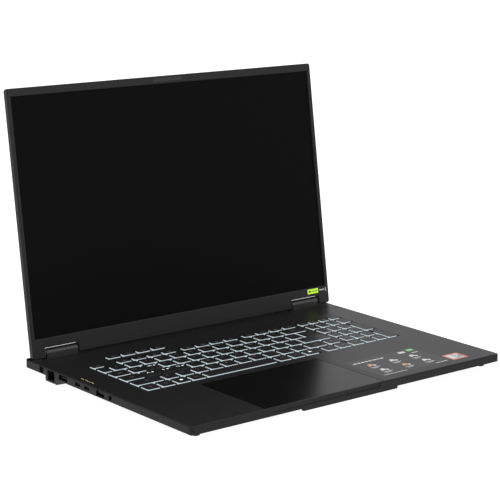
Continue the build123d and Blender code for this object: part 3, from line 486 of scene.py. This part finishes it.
# --- labels and small parts ----------------------------------------------------------------------
def label(name, shapes, body, space, face, lift, looks):
    """A flat label of shapes (outline, material index) on a face, higher inks thicker."""
    bm = bmesh.new()
    for outline, index in shapes:
        slab(bm, outline, face, face + lift * (1.0 + 0.5 * index), index)
    finish_piece(name, bm, body, looks, space)


def bar(x0, x1, y0, y1, index, radius=0.3):
    """A printed bar with rounded ends."""
    return (rounded((x0, x1), (y0, y1), radius, steps=2), index)


def screen_label():
    """Green label with plain white marks at the right end of the lower bezel; its green ink has a faint painted
    glow.
    """
    # faint painted glow on the green ink, though no lamp is behind the label
    green = ink("label_green_painted_glow", (0.5, 0.85, 0.0), 0.35, 0.12)
    white = ink("label_white", (0.75, 0.78, 0.75), 0.4)
    dark = ink("label_dark", (0.05, 0.09, 0.02), 0.4)
    y = 141.6
    shapes = [bar(167.4, 183.0, y - 2.65, y + 2.65, 0, 0.5)]
    shapes += [(circle(170.6, y, 1.5), 2)]
    shapes += [bar(173.2 + 1.9 * i, 174.5 + 1.9 * i, y - 0.8, y + 0.8, 2) for i in range(5)]
    shapes += [bar(185.2 + 1.5 * i, 186.0 + 1.5 * i, y - 0.7, y + 0.7, 1) for i in range(5)]
    shapes += [bar(194.0, 194.6, y - 2.0, y + 2.0, 1)]
    label("screen_label", shapes, "lid", LID, BEZEL_FACE, -0.04, [green, white, dark])


def palm_rest_stickers():
    """Feature sticker with plain icons, and a small square sticker with a red border."""
    film = plastic("sticker_film", 0.0095, 0.34, specular=0.15, scale=500.0, bump=0.02)
    white = ink("sticker_white", (0.5, 0.5, 0.49), 0.4)
    orange = ink("sticker_orange", (0.5, 0.24, 0.12), 0.4)
    green = ink("sticker_green", (0.16, 0.46, 0.2), 0.4)
    red = ink("sticker_red", (0.55, 0.09, 0.04), 0.35)
    grey = ink("sticker_grey", (0.13, 0.14, 0.15), 0.4)
    shapes = [bar(45.5, 141.5, -101.5, -43.5, 0, 2.0)]
    x = 51.0
    for width in (5.0, 3.6, 4.6, 3.0, 4.0, 5.4, 2.8, 4.4):
        shapes.append(bar(x, x + width, -54.4, -52.0, 1, 0.5))
        x += width + 1.2
    shapes += [bar(116.0, 125.0, -53.0, -48.0, 1, 1.2), bar(130.0, 138.0, -51.0, -45.4, 3, 0.6),
               bar(128.5, 137.0, -58.2, -56.6, 1, 0.4)]
    for column, left in enumerate((58.0, 88.0, 116.0)):
        for row, top in enumerate((-61.5, -80.0)):
            warm = 2 if (column, row) in ((0, 0), (1, 1)) else 1
            shapes.append((circle(left + 5.5, top - 3.2, 2.9), warm))
            shapes.append((circle(left + 5.5, top - 3.2, 1.3), 0))
            shapes.append((circle(left + 9.4, top - 5.8, 1.9), 1))
            shapes.append(bar(left + 1.0, left + 3.6, top - 6.8, top - 5.2, warm, 0.4))
            shapes.append(bar(left - 1.0, left + 11.5, top - 11.4, top - 10.4, 1, 0.4))
            shapes.append(bar(left + 0.5, left + 7.5, top - 13.8, top - 12.9, 1, 0.4))
    shapes += [bar(50.5, 82.0, -99.5, -98.6, 1, 0.4), bar(122.0, 139.0, -99.5, -98.4, 1, 0.4)]
    label("feature_sticker", shapes, "base", DECK, DECK_FACE, 0.05, [film, white, orange, green])
    shapes = [bar(144.5, 166.0, -102.3, -84.0, 0, 1.2), bar(146.3, 164.2, -100.6, -85.7, 1, 0.8),
              bar(146.9, 154.0, -99.5, -86.4, 2, 0.8), bar(155.5, 163.2, -90.5, -87.0, 2, 0.5),
              bar(155.5, 159.0, -95.5, -92.0, 2, 0.4), bar(155.5, 163.2, -99.5, -97.5, 2, 0.4)]
    label("square_sticker", shapes, "base", DECK, DECK_FACE, 0.05, [red, grey, white])


def edge_print():
    """A gold dot and a row of small pale strokes printed by the deck's left edge."""
    gold = ink("edge_print_gold", (0.55, 0.48, 0.12), 0.4)
    white = ink("edge_print_white", (0.42, 0.41, 0.36), 0.4)
    shapes = [(circle(-192.6, 69.6, 0.9), 0)]
    for i in range(7):
        y = 49.0 + 2.7 * i
        shift = 0.6 * sin(1.7 * i)
        shapes.append(bar(-193.1 + shift, -192.2 + shift, y, y + 2.3, i % 2, 0.4))
    label("edge_print", shapes, "base", DECK, DECK_FACE, 0.03, [gold, white])


def camera_details():
    """Camera window strip, lens and microphone holes on the top bezel; the holes are flat near-black discs of
    painted shade.
    """
    glossy = plastic("camera_window", 0.003, 0.12, scale=600.0, bump=0.0)
    lens = plastic("camera_lens", 0.001, 0.05, scale=600.0, bump=0.0)
    # painted shade: a flat near-black disc stands in for the shade inside each microphone hole
    hole_shade = plastic("microphone_hole_painted_shade", 0.001, 0.8)
    y = -109.8
    shapes = [(rounded((-19.5, 18.7), (y - 1.9, y + 1.9), 1.5), 0), (circle(-1.0, y, 1.5), 1),
              (circle(6.0, y, 0.5), 2), (circle(-40.5, y, 0.5), 2), (circle(39.7, y, 0.5), 2)]
    label("camera_window", shapes, "lid", LID, BEZEL_FACE, -0.05, [glossy, lens, hole_shade])


# --- studio --------------------------------------------------------------------------------------
FLOOR_SIZE = 40.0         # metres
FLOOR_Z = -0.0002         # just below the feet, so that the two faces don't coincide


def studio():
    """White floor and surroundings with broad soft lights."""
    white = new_material("studio_floor", (0.3, 0.3, 0.3), 0.9, specular=0.0)
    glow(white, (1.0, 1.0, 1.0), 0.95)
    bpy.ops.mesh.primitive_plane_add(size=FLOOR_SIZE, location=(0, 0, FLOOR_Z))
    floor = bpy.context.object
    floor.name = "studio_floor"
    floor.data.materials.append(white)
    world = bpy.data.worlds.new("studio")
    bpy.context.scene.world = world
    world.use_nodes = True
    sky = world.node_tree.nodes["Background"]
    sky.inputs["Color"].default_value = (1.0, 1.0, 1.0, 1.0)
    sky.inputs["Strength"].default_value = 1.0
    soft_light("key", (-0.9, -1.2, 1.9), 2.0, 14.0)
    soft_light("top", (0.6, 0.2, 2.4), 2.4, 14.0)
    soft_light("front", (0.5, -2.4, 0.35), 1.0, 8.0)


def soft_light(name, place, size, watts):
    """A square area light that faces the middle of the machine."""
    lamp = bpy.data.lights.new(name, "AREA")
    lamp.size = size
    lamp.energy = watts
    holder = bpy.data.objects.new(name, lamp)
    bpy.context.scene.collection.objects.link(holder)
    holder.location = place
    aim = Vector((0.0, 0.0, 0.1)) - Vector(place)
    holder.rotation_euler = aim.to_track_quat("-Z", "Y").to_euler()


CAMERA_AZIMUTH = radians(-39.55)
CAMERA_HEIGHT = radians(12.56)
CAMERA_ROLL = radians(0.71)
CAMERA_TARGET = Vector((-0.26, 49.22, 106.0))
CAMERA_DISTANCE = 1810.05
CAMERA_FOCUS = 128.56


def camera():
    """Camera at the front left, drawn in the deck's frame."""
    level = cos(CAMERA_HEIGHT)
    back = Vector((sin(CAMERA_AZIMUTH) * level, -cos(CAMERA_AZIMUTH) * level, sin(CAMERA_HEIGHT)))
    right = (-back).cross(Vector((0, 0, 1))).normalized()
    up = right.cross(-back)
    turned_right = cos(CAMERA_ROLL) * right + sin(CAMERA_ROLL) * up
    turned_up = -sin(CAMERA_ROLL) * right + cos(CAMERA_ROLL) * up
    turn = Matrix((turned_right, turned_up, back)).transposed().to_4x4()
    place = Matrix.Translation(CAMERA_TARGET + CAMERA_DISTANCE * back) @ turn
    lens = bpy.data.cameras.new("camera")
    lens.lens = CAMERA_FOCUS
    lens.sensor_width = 36.0
    lens.clip_end = 100.0
    holder = bpy.data.objects.new("camera", lens)
    bpy.context.scene.collection.objects.link(holder)
    world = DECK @ place
    holder.location = world.to_translation()
    holder.rotation_mode = "QUATERNION"
    holder.rotation_quaternion = world.to_quaternion()
    bpy.context.scene.camera = holder


def dress_cad_nodes():
    """Give each CAD node the material of its slot."""
    slots = {s["node"]: s["material_slot"] for s in frame["record"]["subparts"]}
    for name, cad in frame["nodes"].items():
        cad.data.materials.clear()
        cad.data.materials.append(materials[slots[name]])


bpy.context.scene.view_settings.view_transform = "Standard"
camera()
studio()
dress_cad_nodes()
build_keys()
screen_label()
palm_rest_stickers()
edge_print()
camera_details()
